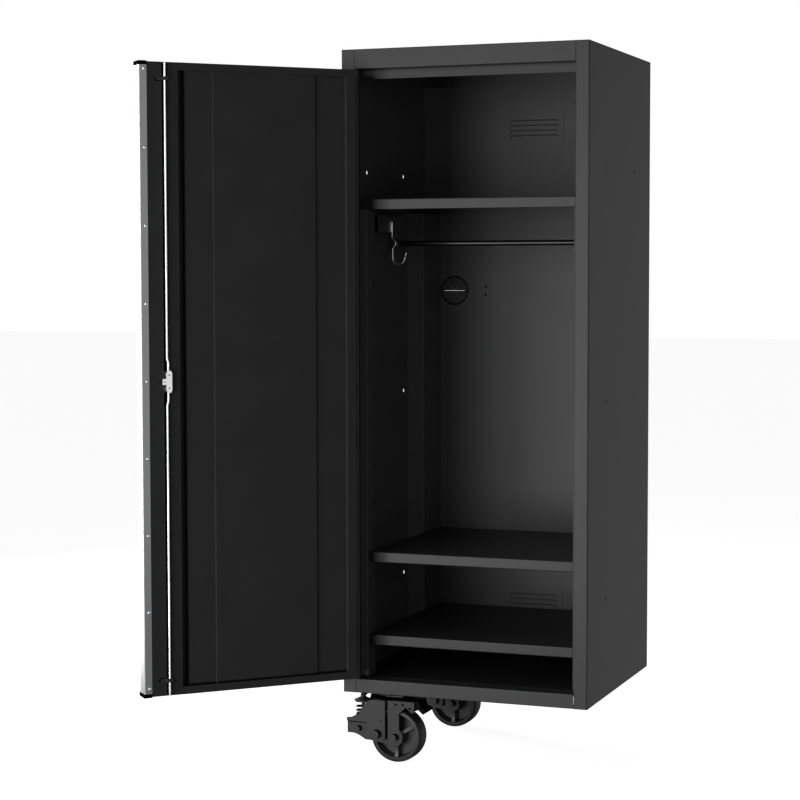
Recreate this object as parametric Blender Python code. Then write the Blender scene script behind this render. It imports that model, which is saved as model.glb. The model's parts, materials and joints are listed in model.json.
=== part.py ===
"""Side locker of a rolling tool chest, with its door standing open.

Everything is laid out in the locker's own coordinates: x across the front
(0 at mid width), y back from the front face, z up from the underside of the
body. ORIGIN moves the finished solids so that the middle of the right side
panel's outer face, where the locker bolts to the chest, is at 0, 0, 0.
The door is laid out closed and then swung open about its hinge.
"""

import math

import bmesh
import bpy
from mathutils import Matrix, Vector

# ---------------------------------------------------------------- dimensions
WIDTH = 0.613
DEPTH = 0.574
HEIGHT = 1.549
ORIGIN = Vector((WIDTH / 2, DEPTH / 2, HEIGHT / 2))

SHEET = 0.0015          # body sheet
THIN = 0.0012           # shelves, uprights, door skin
GAP = 0.0003            # clearance between pieces that touch
BEND = 0.0025           # outside radius of a folded corner
WALL = WIDTH / 2 - SHEET - GAP          # inside faces of the side walls
BACK_FACE = DEPTH - 2 * SHEET - GAP     # inside face of the back panel

STILE = 0.033           # width of the front stiles
JAMB = 0.036            # depth of the fold behind them
HEADER = 0.0467
RAIL = 0.034
FLOOR_TOP = 0.034
STRIKE_SLOT = 0.0490    # front of the floor, behind the slot the lock rod drops into
REAR_HEADER = 1.5030    # lower edge of the fold behind the back wall's top
UPPER_LOUVRES_Z = 1.4115
LOWER_LOUVRES_Z = 0.1715
LOUVRE_PITCH = 0.0130
GROMMET = (-0.2195, 0.9695)

HOLE_R = 0.005          # joining holes in both side panels
HOLE_Y = (DEPTH / 2 - 0.127, DEPTH / 2 + 0.127)
HOLE_Z = (1.264, 0.7115, 0.236)

UPRIGHT_FACE = 0.2585   # x of the slotted faces
FRONT_UPRIGHT_Y = (0.0425, 0.094)
REAR_UPRIGHT_Y = (0.440, 0.5704)
SLOT_PITCH = 0.0886
SLOT_SIZE = (0.004, 0.011)

SHELF_LIP = 0.025
TOP_SHELF_Z = 1.195
UPPER_SHELF_Z = 0.339
LOWER_SHELF_Z = 0.1355

CLOTHES_ROD = (0.287, 1.0905)
CLOTHES_ROD_R = 0.007

HINGE_X = -WIDTH / 2 + 0.032
HINGE_Y = -0.0035
DOOR_OPEN = math.radians(134.6)
DOOR_LEFT = HINGE_X + 0.0058
DOOR_RIGHT = HINGE_X + 0.5445
TRIM_LEFT = HINGE_X + 0.5264
DOOR_BOTTOM = 0.0433
DOOR_TOP = 1.4966
DOOR_INNER = 0.0373     # y of the door's inner face when shut
DOOR_LIP = 0.0175
PULL_X = 0.2280         # where the skin steps back for the finger pull
PULL_STEP = 0.0208
PULL_LIP_X = 0.2560
CHANNEL_LEFT = HINGE_X + 0.4520
PRESSED = 0.0010        # pressed inner sheets and straps
EXTRUSION = 0.0018
CAP_HEIGHT = 0.0075
KNUCKLES = 10
KNUCKLE_R = 0.0030
PIN_BORE = 0.00125
LEAF = 0.0008
LOCK_X = HINGE_X + 0.482
LOCK_Z = 0.7703
ROD_X = HINGE_X + 0.485
ROD_Y = 0.0418
ROD_R = 0.0027

SWIVEL_X = -0.215
CASTER_Y = (0.0805, 0.4995)
AXLE_X = -0.1925
AXLE_Z = -0.1133
WHEEL_R = 0.0650
WHEEL_HALF = 0.023
PIVOT = (-0.2405, -0.1080)
CROSS_PIN = (-0.2870, -0.0980)
LEG_TIE = (-0.1985, -0.0335)
BRAKE_PIN = (-0.1537, -0.0417)
YOKE_HALF = (0.0315, 0.0355)    # inner and outer faces of the yoke's cheeks
ARM_HALF = (0.0270, 0.0310)
PULL_ROD_X = -0.2870
SEAT_TOP = -0.0770
CUP_Z = -0.0360
CHEEK_TOP = -0.0268

# finish: colour, roughness, metallic
FINISHES = {
    "tyre_rubber": ((0.030, 0.030, 0.032), 0.65, 0.0),
    "soft_rubber": ((0.020, 0.020, 0.020), 0.70, 0.0),
    "black_plastic": ((0.018, 0.018, 0.019), 0.45, 0.0),
    "trim_aluminium": ((0.720, 0.725, 0.735), 0.34, 1.0),
    "bright_chrome": ((0.880, 0.885, 0.890), 0.12, 1.0),
    "bare_steel": ((0.560, 0.560, 0.560), 0.32, 1.0),
    "caster_paint": ((0.070, 0.071, 0.074), 0.38, 0.0),
    "body_paint": ((0.078, 0.079, 0.082), 0.50, 0.0),
}
FINISH_WORDS = {
    "tyre_rubber": ("tyre",),
    "soft_rubber": ("grommet_insert",),
    "black_plastic": ("grommet_ring", "trim_cap", "brake_pedal"),
    "trim_aluminium": ("edge_trim",),
    "bright_chrome": ("lock_rod", "lock_cover", "lock_cam", "coat_hook", "key_cylinder"),
    "bare_steel": ("hinge_pin", "axle", "spring"),
    "caster_paint": ("front_caster", "rear_caster"),
}


# ------------------------------------------------------------------- helpers
def new_object(name, mesh_data):
    """Link a bmesh as an object in the part's frame."""
    bmesh.ops.recalc_face_normals(mesh_data, faces=mesh_data.faces)
    bmesh.ops.translate(mesh_data, verts=mesh_data.verts, vec=-ORIGIN)
    mesh = bpy.data.meshes.new(name)
    mesh_data.to_mesh(mesh)
    mesh_data.free()
    obj = bpy.data.objects.new(name, mesh)
    bpy.context.scene.collection.objects.link(obj)
    return obj


def as_point(axis, a, b, c):
    """Point with c along the axis and a, b along the two others in order."""
    if axis == "x":
        return Vector((c, a, b))
    if axis == "y":
        return Vector((a, c, b))
    return Vector((a, b, c))


def prism(name, outline, axis, low, high):
    """Extrude a closed outline along x, y or z."""
    bm = bmesh.new()
    bottom = [bm.verts.new(as_point(axis, a, b, low)) for a, b in outline]
    top = [bm.verts.new(as_point(axis, a, b, high)) for a, b in outline]
    count = len(outline)
    bm.faces.new(bottom)
    bm.faces.new(list(reversed(top)))
    for i in range(count):
        j = (i + 1) % count
        bm.faces.new((bottom[i], top[i], top[j], bottom[j]))
    return new_object(name, bm)


def block(name, x, y, z):
    """Box between two x, two y and two z values."""
    outline = [(x[0], y[0]), (x[1], y[0]), (x[1], y[1]), (x[0], y[1])]
    return prism(name, outline, "z", z[0], z[1])


def disc(name, axis, centre, radius, low, high, sides=24):
    """Round bar or disc along an axis."""
    outline = []
    for i in range(sides):
        turn = 2 * math.pi * (i + 0.5) / sides
        outline.append((centre[0] + radius * math.cos(turn), centre[1] + radius * math.sin(turn)))
    return prism(name, outline, axis, low, high)


def turned(name, axis, centre, profile, sides=32):
    """Solid of revolution: profile is a closed loop of (radius, position)."""
    bm = bmesh.new()
    rings = []
    for radius, position in profile:
        if radius < 1e-7:
            rings.append([bm.verts.new(as_point(axis, centre[0], centre[1], position))])
            continue
        ring = []
        for i in range(sides):
            turn = 2 * math.pi * i / sides
            a = centre[0] + radius * math.cos(turn)
            b = centre[1] + radius * math.sin(turn)
            ring.append(bm.verts.new(as_point(axis, a, b, position)))
        rings.append(ring)
    closed = profile[0][0] > 1e-7
    pairs = [(rings[k], rings[k + 1]) for k in range(len(rings) - 1)]
    if closed:
        pairs.append((rings[-1], rings[0]))
    for first, second in pairs:
        for i in range(sides):
            j = (i + 1) % sides
            if len(first) == 1:
                bm.faces.new((first[0], second[i], second[j]))
            elif len(second) == 1:
                bm.faces.new((first[i], second[0], first[j]))
            else:
                bm.faces.new((first[i], second[i], second[j], first[j]))
    return new_object(name, bm)


def bent_wire(name, points, radius, sides=10):
    """Round wire along a line of points."""
    points = [Vector(p) for p in points]
    bm = bmesh.new()
    rings = []
    side = None
    for k, point in enumerate(points):
        before = (point - points[k - 1]).normalized() if k else None
        after = (points[k + 1] - point).normalized() if k < len(points) - 1 else None
        along = ((before or after) + (after or before)).normalized()
        if side is None:
            side = along.orthogonal().normalized()
        side = (side - along * side.dot(along)).normalized()
        up = along.cross(side)
        ring = []
        for i in range(sides):
            turn = 2 * math.pi * i / sides
            offset = side * math.cos(turn) + up * math.sin(turn)
            ring.append(bm.verts.new(point + radius * offset))
        rings.append(ring)
    for first, second in zip(rings, rings[1:]):
        for i in range(sides):
            j = (i + 1) % sides
            bm.faces.new((first[i], second[i], second[j], first[j]))
    bm.faces.new(rings[0])
    bm.faces.new(list(reversed(rings[-1])))
    return new_object(name, bm)


def rounded_path(path, radius, steps=3):
    """Round the inner corners of an open path."""
    result = [Vector(path[0])]
    for a, b, c in zip(path, path[1:], path[2:]):
        a, b, c = Vector(a), Vector(b), Vector(c)
        first, second = (a - b), (c - b)
        angle = first.angle(second)
        reach = min(radius / math.tan(angle / 2), 0.45 * min(first.length, second.length))
        start, end = b + first.normalized() * reach, b + second.normalized() * reach
        for k in range(steps + 1):
            t = k / steps
            result.append((1 - t) ** 2 * start + 2 * t * (1 - t) * b + t ** 2 * end)
    result.append(Vector(path[-1]))
    return result


def sheet_outline(path, thickness, bend=0.0, steps=3):
    """Outline of a folded sheet whose left-hand face follows the path."""
    points = rounded_path(path, bend, steps) if bend else [Vector(p) for p in path]
    other = []
    for k, point in enumerate(points):
        before = (point - points[k - 1]).normalized() if k else None
        after = (points[k + 1] - point).normalized() if k < len(points) - 1 else None
        first = before or after
        second = after or before
        normal_a = Vector((first.y, -first.x))
        normal_b = Vector((second.y, -second.x))
        mitre = (normal_a + normal_b).normalized()
        other.append(point + mitre * (thickness / max(0.3, mitre.dot(normal_a))))
    outline = [tuple(p) for p in points] + [tuple(p) for p in reversed(other)]
    return outline


def folded(name, path, thickness, axis, low, high, bend=0.0):
    """Folded sheet with a constant section along an axis."""
    return prism(name, sheet_outline(path, thickness, bend), axis, low, high)


def hide_tool(tool):
    tool.hide_render = True
    tool.hide_set(True)
    tool.display_type = "WIRE"


def combine(target, tools, operation):
    """Boolean the tools into the target, one after the other."""
    for tool in tools:
        change = target.modifiers.new(tool.name, "BOOLEAN")
        change.operation = operation
        change.solver = "EXACT"
        change.object = tool
        hide_tool(tool)
    return target


def add(target, *tools):
    return combine(target, tools, "UNION")


def cut(target, *tools):
    return combine(target, tools, "DIFFERENCE")


def laid_out(joint):
    """Where a joint's axis lies before anything has turned."""
    place = Vector()
    while joint:
        place += joint.location
        joint = joint.parent
    return place


def joint_axis(name, place, carrier=None):
    """Empty on a joint's axis, carried by the empty of the joint before it."""
    axis = bpy.data.objects.new(name, None)
    bpy.context.scene.collection.objects.link(axis)
    axis.location = Vector(place) - ORIGIN - laid_out(carrier)
    axis.parent = carrier
    return axis


def hang(piece, joint):
    """Move a piece's origin, and those of its Boolean tools, to a joint's axis."""
    piece.data.transform(Matrix.Translation(-laid_out(joint)))
    piece.parent = joint
    for change in piece.modifiers:
        if change.type == "BOOLEAN":
            hang(change.object, joint)
    return piece


def many_blocks(name, boxes):
    """One cutter made of several separate boxes."""
    bm = bmesh.new()
    for (x0, x1), (y0, y1), (z0, z1) in boxes:
        made = bmesh.ops.create_cube(bm, size=1.0)["verts"]
        size = Matrix.Diagonal((x1 - x0, y1 - y0, z1 - z0, 1.0))
        move = Matrix.Translation(((x0 + x1) / 2, (y0 + y1) / 2, (z0 + z1) / 2))
        bmesh.ops.transform(bm, matrix=move @ size, verts=made)
    return new_object(name, bm)


def rounded_rectangle(half_a, half_b, radius, centre=(0.0, 0.0), steps=3):
    outline = []
    for ca, cb, start in ((1, 1, 0), (-1, 1, 90), (-1, -1, 180), (1, -1, 270)):
        for k in range(steps + 1):
            turn = math.radians(start + 90 * k / steps)
            a = centre[0] + ca * (half_a - radius) + radius * math.cos(turn)
            b = centre[1] + cb * (half_b - radius) + radius * math.sin(turn)
            outline.append((a, b))
    return outline


def mirrored(path, flip):
    """Mirror a path across the locker's middle when flip is -1."""
    return [(flip * a, b) for a, b in path]


# --------------------------------------------------------------------- body
def side_panel(name, flip):
    """Wall, front stile, jamb fold and rear flange in one folded sheet."""
    x = WIDTH / 2
    path = [
        (x - STILE + 0.012, JAMB),
        (x - STILE, JAMB),
        (x - STILE, 0.0),
        (x, 0.0),
        (x, DEPTH),
        (x - 0.016, DEPTH),
    ]
    outline = sheet_outline(path, -SHEET, BEND)
    panel = prism(name, mirrored(outline, flip), "z", 0.0, HEIGHT - SHEET - GAP)
    holes = []
    for row, z in enumerate(HOLE_Z):
        for column, y in enumerate(HOLE_Y):
            low, high = sorted((flip * (x - 0.01), flip * (x + 0.01)))
            holes.append(disc(f"{name}_hole_{row}{column}", "x", (y, z), HOLE_R, low, high, 20))
    return cut(panel, *holes)


def body():
    for name, flip in (("side_panel_left", -1), ("side_panel_right", 1)):
        side_panel(name, flip)

    inner = WIDTH / 2 - STILE - GAP
    top = HEIGHT - SHEET - GAP
    opening_top = HEIGHT - HEADER

    lid = block("top_panel", (-WIDTH / 2, WIDTH / 2), (0.0, DEPTH), (HEIGHT - SHEET, HEIGHT))
    edge = lid.modifiers.new("soft_edge", "BEVEL")
    edge.width = 0.0006
    edge.segments = 1

    header_path = [
        (0.0, top),
        (0.0, opening_top),
        (JAMB, opening_top),
        (JAMB, opening_top + 0.018),
    ]
    folded("header_rail", header_path, -SHEET, "x", -inner, inner, 0.002)

    stop_path = [(0.0465, 1.4815), (0.0465, 1.5225), (0.0680, 1.5225)]
    folded("door_stop", stop_path, SHEET, "x", -inner, inner, 0.002)

    rail_path = [(JAMB, RAIL), (0.0, RAIL), (0.0, 0.0), (0.0450, 0.0)]
    folded("bottom_rail", rail_path, -SHEET, "x", -inner, inner, 0.002)

    floor_path = [(STRIKE_SLOT, FLOOR_TOP - 0.015), (STRIKE_SLOT, FLOOR_TOP), (BACK_FACE - GAP, FLOOR_TOP)]
    folded("floor_panel", floor_path, SHEET, "x", -WALL, WALL, 0.002)

    half = 0.075
    channel_top = FLOOR_TOP - SHEET - GAP
    channel_path = [
        (SWIVEL_X - half, channel_top),
        (SWIVEL_X - half, 0.0),
        (SWIVEL_X + half, 0.0),
        (SWIVEL_X + half, channel_top),
    ]
    folded("caster_channel", channel_path, -0.003, "y", STRIKE_SLOT + 0.0025, BACK_FACE - 0.0017)

    rear = BACK_FACE - GAP
    rear_path = [(rear, REAR_HEADER), (rear, top), (rear - 0.020, top)]
    folded("rear_header", rear_path, -SHEET, "x", -WALL, WALL, 0.002)
    back_panel()


def louvre(panel, tag, top_z):
    """Closed vent pressing: a hood outside, and its brow-shaped crease inside."""
    half, reach, height = 0.0650, 0.0034, 0.0110
    rear = BACK_FACE + SHEET
    low = top_z - height
    hood = [(rear - 0.0003, top_z), (rear, top_z), (rear + reach, top_z - 0.0020),
            (rear + reach, top_z - 0.0030), (rear, low), (rear - 0.0003, low)]
    add(panel, prism(f"{tag}_hood", hood, "x", -half, half))
    brow = [(0.0, 0.0), (0.0600, 0.0), (0.0632, -0.0016), (0.0650, -0.0050), (0.0655, -0.0085)]
    inside = [(0.0643, -0.0085), (0.0637, -0.0055), (0.0620, -0.0028), (0.0595, -0.0015), (0.0, -0.0015)]
    right = [(x, top_z + z) for x, z in brow + inside]
    left = [(-x, z) for x, z in reversed(right)]
    crease = right[:5] + right[5:9] + left[1:5] + left[5:9]
    cut(panel, prism(f"{tag}_crease", crease, "y", BACK_FACE - 0.0050, BACK_FACE))


def back_panel():
    """Rear wall with two louvred fields and a cable outlet."""
    panel = block("back_panel", (-WALL, WALL), (BACK_FACE, BACK_FACE + SHEET), (0.0, HEIGHT - SHEET - GAP))
    for field, top_z in (("upper", UPPER_LOUVRES_Z), ("lower", LOWER_LOUVRES_Z)):
        outline = rounded_rectangle(0.0790, 0.0405, 0.0120, (0.0, top_z - 0.0235))
        add(panel, prism(f"{field}_field", outline, "y", BACK_FACE - 0.0014, BACK_FACE + 0.0004))
        for k in range(4):
            louvre(panel, f"{field}_louvre_{k}", top_z - LOUVRE_PITCH * k)
    rear = BACK_FACE + SHEET
    outlet = disc("cable_outlet", "y", GROMMET, 0.0315, BACK_FACE - 0.0100, rear + 0.0100, 32)
    cut(panel, outlet)

    ring = [
        (0.0290, BACK_FACE - 0.0008), (0.0347, BACK_FACE - 0.0008), (0.0347, BACK_FACE - 0.0035),
        (0.0375, BACK_FACE - 0.0035), (0.0385, BACK_FACE - 0.0015),
        (0.0385, BACK_FACE - GAP), (0.0312, BACK_FACE - GAP), (0.0312, rear + 0.0012),
        (0.0290, rear + 0.0012),
    ]
    turned("grommet_ring", "y", GROMMET, ring, 32)
    insert = disc("grommet_insert", "y", GROMMET, 0.0343, BACK_FACE - 0.0026, BACK_FACE - 0.0012, 32)
    x, z = GROMMET
    slit = block("grommet_slit", (x - 0.0275, x + 0.0275), (DEPTH - 0.02, DEPTH + 0.02), (z - 0.0005, z + 0.0005))
    cut(insert, slit)


# ---------------------------------------------------------- shelves, uprights
def upright(name, flip, rear):
    low, high = REAR_UPRIGHT_Y if rear else FRONT_UPRIGHT_Y
    path = [(WALL, low), (UPRIGHT_FACE, low), (UPRIGHT_FACE, high)]
    if not rear:
        path.append((WALL, high))
    outline = sheet_outline(path, THIN, 0.0020)
    top = TOP_SHELF_Z - SHELF_LIP - GAP
    post = prism(name, mirrored(outline, flip), "z", FLOOR_TOP + GAP, top)
    first = 1.0655 if rear else 1.0772
    slot_y = low + 0.013 if rear else 0.0845
    half_y, half_z = SLOT_SIZE[0] / 2, SLOT_SIZE[1] / 2
    boxes = []
    for k in range(11):
        z = first - SLOT_PITCH * k
        x = sorted((flip * (UPRIGHT_FACE - 0.01), flip * (UPRIGHT_FACE + 0.01)))
        boxes.append((x, (slot_y - half_y, slot_y + half_y), (z - half_z, z + half_z)))
    return cut(post, many_blocks(f"{name}_slots", boxes))


def shelf(name, half_width, front, back, top_z):
    """Sheet shelf with folded lips along its front and back edges."""
    low = top_z - SHELF_LIP
    path = [
        (front + 0.012, low),
        (front, low),
        (front, top_z),
        (back, top_z),
        (back, low),
    ]
    return folded(name, path, THIN, "x", -half_width, half_width, 0.0025)


def shelves():
    for side, flip in (("left", -1), ("right", 1)):
        upright(f"front_upright_{side}", flip, False)
        upright(f"rear_upright_{side}", flip, True)
    back = BACK_FACE - GAP
    shelf("top_shelf", WALL, 0.0460, back - 0.0010, TOP_SHELF_Z)
    for name, top_z in (("upper_shelf", UPPER_SHELF_Z), ("lower_shelf", LOWER_SHELF_Z)):
        shelf(name, UPRIGHT_FACE - 0.0015, 0.0475, back - 0.0080, top_z)


def hanging_gear():
    face = 0.277
    rod_y, rod_z = CLOTHES_ROD
    for side, flip in (("left", -1), ("right", 1)):
        path = [(WALL, 1.1600), (face, 1.1600), (face, 1.1175), (WALL, 1.1175)]
        section = sheet_outline(mirrored(path, flip), -flip * SHEET)
        rail = prism(f"rod_bracket_{side}", section, "y", 0.1650, 0.3680)
        x0, x1 = sorted((flip * face, flip * (face + SHEET)))
        tab = block(f"rod_tab_{side}", (x0, x1), (rod_y - 0.013, rod_y + 0.013), (1.0785, 1.1190))
        cup_low, cup_high = sorted((flip * (face - 0.010), flip * (face + 0.0008)))
        cup = disc(f"rod_cup_{side}", "x", (rod_y, rod_z), 0.0105, cup_low, cup_high, 20)
        bore_low, bore_high = sorted((flip * (face - 0.012), flip * (face - 0.0010)))
        bore = disc(f"rod_bore_{side}", "x", (rod_y, rod_z), 0.0074, bore_low, bore_high, 20)
        add(rail, tab, cup)
        cut(rail, bore)
    reach = face - 0.0014
    disc("clothes_rod", "x", (rod_y, rod_z), CLOTHES_ROD_R, -reach, reach, 20)

    hook_y = 0.2500
    tab_x = -face + GAP
    hook = block("coat_hook", (tab_x, tab_x + 0.002), (hook_y - 0.010, hook_y + 0.010), (1.1190, 1.1500))
    wire = [
        (tab_x + 0.0024, hook_y, 1.1230),
        (tab_x + 0.0030, hook_y, 1.1030),
        (tab_x + 0.0100, hook_y, 1.0972),
        (tab_x + 0.0124, hook_y, 1.0910),
        (tab_x + 0.0100, hook_y, 1.0848),
        (tab_x + 0.0045, hook_y, 1.0800),
        (tab_x + 0.0045, hook_y, 1.0540),
    ]
    centre = (tab_x + 0.0205, 1.0545)
    for k in range(1, 8):
        turn = math.radians(180 + 22 * k)
        wire.append((centre[0] + 0.0160 * math.cos(turn), hook_y, centre[1] + 0.0160 * math.sin(turn)))
    wire.append((tab_x + 0.0415, hook_y, 1.0670))
    add(hook, bent_wire("coat_hook_wire", wire, 0.0019, 8))


# --------------------------------------------------------------------- door
def hinge(door_axis):
    """Continuous hinge: two leaves with alternating knuckles on one pin."""
    low, high = DOOR_BOTTOM + 0.004, DOOR_TOP - 0.004
    step = (high - low) / KNUCKLES
    stile_x = -WIDTH / 2 + STILE
    leaf_y = (0.0015, 0.0300)
    frame_x = (stile_x + GAP, stile_x + GAP + LEAF)
    door_x = (DOOR_LEFT - GAP - LEAF, DOOR_LEFT - GAP)
    fixed = block("hinge_leaf_frame", frame_x, leaf_y, (low, high))
    moving = block("hinge_leaf_door", door_x, leaf_y, (low, high))
    for k in range(KNUCKLES):
        z = (low + k * step + GAP, low + (k + 1) * step - GAP)
        ring = [(PIN_BORE, z[0]), (KNUCKLE_R, z[0]), (KNUCKLE_R, z[1]), (PIN_BORE, z[1])]
        barrel = turned(f"knuckle_{k}", "z", (HINGE_X, HINGE_Y), ring, 12)
        if k % 2 == 0:
            web = block(f"knuckle_web_{k}", frame_x, (HINGE_Y - 0.0005, 0.0020), z)
            add(fixed, web, barrel)
        else:
            web_y = (HINGE_Y + 0.0004, HINGE_Y + 0.0014)
            web = block(f"knuckle_web_{k}", (HINGE_X + 0.0018, door_x[1]), web_y, z)
            lift = block(f"knuckle_lift_{k}", door_x, (HINGE_Y + 0.0004, 0.0020), z)
            add(moving, lift, web, barrel)
    hang(moving, door_axis)
    disc("hinge_pin", "z", (HINGE_X, HINGE_Y), PIN_BORE - GAP, low - 0.001, high + 0.001, 12)


def from_hinge(*points):
    """Points given by their distance from the hinge line and their depth."""
    return [(HINGE_X + distance, y) for distance, y in points]


def door(door_axis):
    outer_skin(door_axis)
    inner_panel(door_axis)
    edge_channel(door_axis)
    edge_trim(door_axis)


def outer_skin(door_axis):
    """Front sheet with folded sides, stepped back for the finger pull."""
    back = DOOR_INNER - 0.0010 - GAP
    right = TRIM_LEFT - 0.0004
    front = [(DOOR_LEFT, 0.0), (PULL_X, 0.0), (PULL_X, PULL_STEP), (right, PULL_STEP), (right, back)]
    path = [(DOOR_LEFT, back)] + front
    skin = prism("door_skin", sheet_outline(path, -THIN), "z", DOOR_BOTTOM, DOOR_TOP)
    ends = [prism(f"skin_end_{k}", front + [(DOOR_LEFT, back)], "z", z, z + THIN)
            for k, z in enumerate((DOOR_BOTTOM, DOOR_TOP - THIN))]
    add(skin, *ends)
    cut(skin, disc("key_hole", "y", (LOCK_X, LOCK_Z), 0.0095, -0.01, 0.01, 24))
    hang(skin, door_axis)


def inner_panel(door_axis):
    """Pressed inner sheet: a groove by the hinge, a lip, and a raised middle."""
    face = DOOR_INNER
    deep = face - 0.0090
    groove = face - 0.0030
    raised = face - 0.0040
    path = from_hinge(
        (0.0058, face), (0.0090, face), (0.0090, groove), (0.0120, groove), (0.0120, face),
        (0.0345, face), (0.0365, deep), (0.1122, deep), (0.1140, raised), (0.3660, raised),
        (0.3675, deep), (0.4328, deep), (0.4328, face - 0.0300),
    )
    lip_low, lip_high = DOOR_BOTTOM + DOOR_LIP, DOOR_TOP - DOOR_LIP
    panel = prism("door_inner_panel", sheet_outline(path, PRESSED), "z", lip_low, lip_high)
    lip_right = CHANNEL_LEFT - GAP
    wall_x = (HINGE_X + 0.0300, lip_right)
    wall_y = (deep - PRESSED, face - 0.0004)
    lap = 0.0002
    for where, z0, z1, wall_z in (
            ("bottom", DOOR_BOTTOM, lip_low + lap, (lip_low - PRESSED, lip_low + lap)),
            ("top", lip_high - lap, DOOR_TOP, (lip_high - lap, lip_high + PRESSED))):
        lip = block(f"panel_lip_{where}", (DOOR_LEFT, lip_right), (face - PRESSED, face), (z0, z1))
        add(panel, lip, block(f"panel_wall_{where}", wall_x, wall_y, wall_z))
    hang(panel, door_axis)


def edge_channel(door_axis):
    """Deep channel down the door's free side, behind the lock."""
    path = [(CHANNEL_LEFT, 0.0035), (CHANNEL_LEFT, DOOR_INNER), (TRIM_LEFT - 0.0004, DOOR_INNER)]
    inset = 0.0018
    channel = prism("door_edge_channel", sheet_outline(path, PRESSED), "z",
                    DOOR_BOTTOM + inset, DOOR_TOP - inset)
    cut(channel, disc("shaft_hole", "y", (LOCK_X, LOCK_Z), 0.0040, 0.030, 0.045, 20))
    hang(channel, door_axis)


def edge_trim(door_axis):
    """Aluminium edge with its finger pull, and a plastic cap at each end."""
    flange = DOOR_INNER + 0.0004
    pull = PULL_STEP - 0.0006
    pull_left = PULL_X + 0.0006
    path = [
        (PULL_LIP_X, 0.0060), (PULL_LIP_X, 0.0), (DOOR_RIGHT, 0.0), (DOOR_RIGHT, flange),
        (TRIM_LEFT, flange), (TRIM_LEFT, pull), (pull_left, pull), (pull_left, 0.0),
    ]
    rounded = path[:2]
    rounded += rounded_path(path[1:4], 0.0060, 4)[1:-1]
    rounded += rounded_path(path[2:5], 0.0020, 4)[1:-1]
    rounded += path[4:]
    trim = prism("edge_trim", sheet_outline(rounded, -EXTRUSION), "z",
                 DOOR_BOTTOM + CAP_HEIGHT + GAP, DOOR_TOP - CAP_HEIGHT - GAP)
    hang(trim, door_axis)

    proud = 0.0006
    for where, z in (
            ("bottom", (DOOR_BOTTOM - 0.0015, DOOR_BOTTOM + CAP_HEIGHT)),
            ("top", (DOOR_TOP - CAP_HEIGHT, DOOR_TOP + 0.0015))):
        cap = block(f"trim_cap_{where}", (TRIM_LEFT, DOOR_RIGHT + proud), (-proud, DOOR_INNER + 0.0012), z)
        tail = block(f"trim_cap_tail_{where}", (pull_left, TRIM_LEFT + 0.001), (-proud, pull), z)
        hang(add(cap, tail), door_axis)


def lock(door_axis):
    """Key cylinder, cam with inside release lever, cover and two lock rods."""
    cylinder = [
        (0.0053, -0.0030), (0.0100, -0.0030), (0.0115, -0.0015), (0.0115, -GAP),
        (0.0092, -GAP), (0.0092, 0.0120), (0.0053, 0.0120),
    ]
    hang(turned("key_cylinder", "y", (LOCK_X, LOCK_Z), cylinder, 24), door_axis)
    lock_cam(door_axis)
    lock_cover(door_axis)
    lock_rod("upper_lock_rod", 1, DOOR_TOP - 0.0006, door_axis)
    lock_rod("lower_lock_rod", -1, DOOR_BOTTOM + 0.0006, door_axis)
    for name, z in (("upper_rod_guide", 1.4590), ("lower_rod_guide", 0.0800)):
        rod_guide(name, z, door_axis)


def lock_cam(door_axis):
    centre = (LOCK_X, LOCK_Z)
    cam = disc("lock_cam", "y", centre, 0.0050, -0.0024, 0.0110, 20)
    shaft = disc("cam_shaft", "y", centre, 0.0028, 0.0100, 0.0495, 16)
    plate = disc("cam_plate", "y", centre, 0.0070, 0.0396, 0.0440, 20)
    lever = block("cam_lever", (LOCK_X - 0.0045, LOCK_X + 0.0165), (0.0484, 0.0500),
                  (LOCK_Z - 0.0068, LOCK_Z + 0.0068))
    slit = block("key_slit", (LOCK_X - 0.0008, LOCK_X + 0.0008), (-0.0040, 0.0030),
                 (LOCK_Z - 0.0032, LOCK_Z + 0.0032))
    add(cam, shaft, plate, lever)
    cut(cam, slit)
    hang(cam, joint_axis("lock_axis", (LOCK_X, 0.0, LOCK_Z), door_axis))


def lock_cover(door_axis):
    """Cover plate with clipped corners, on four feet over the lock rods' ends."""
    half_x, half_z, shoulder = 0.0070, 0.0250, 0.0190
    corner_x = 0.0042
    quarter = [(half_x, -shoulder), (half_x, shoulder), (corner_x, half_z), (-corner_x, half_z)]
    outline = quarter + [(-a, -b) for a, b in quarter]
    outline = [(LOCK_X + a, LOCK_Z + b) for a, b in outline]
    cover = prism("lock_cover", outline, "y", 0.0462, 0.0478)
    feet = []
    for k, (a, b) in enumerate(((-1, -1), (1, -1), (-1, 1), (1, 1))):
        x = sorted((LOCK_X + a * 0.0046, LOCK_X + a * 0.0068))
        z = sorted((LOCK_Z + b * 0.0135, LOCK_Z + b * 0.0185))
        feet.append(block(f"cover_foot_{k}", x, (DOOR_INNER + GAP, 0.0466), z))
    add(cover, *feet)
    cut(cover, disc("cover_bore", "y", (LOCK_X, LOCK_Z), 0.0034, 0.0440, 0.0500, 16))
    hang(cover, door_axis)


def lock_rod(name, sign, end, door_axis):
    """Rod from the cam to the door's end, with a joggle near the cam."""
    near = LOCK_X + 0.0005
    points = [
        (near, ROD_Y, LOCK_Z + sign * 0.0090),
        (near, ROD_Y, LOCK_Z + sign * 0.0440),
        (ROD_X, ROD_Y, LOCK_Z + sign * 0.0540),
        (ROD_X, ROD_Y, end),
    ]
    rod_axis = joint_axis(f"{name}_axis", (ROD_X, ROD_Y, LOCK_Z), door_axis)
    hang(bent_wire(name, points, ROD_R, 10), rod_axis)


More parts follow.
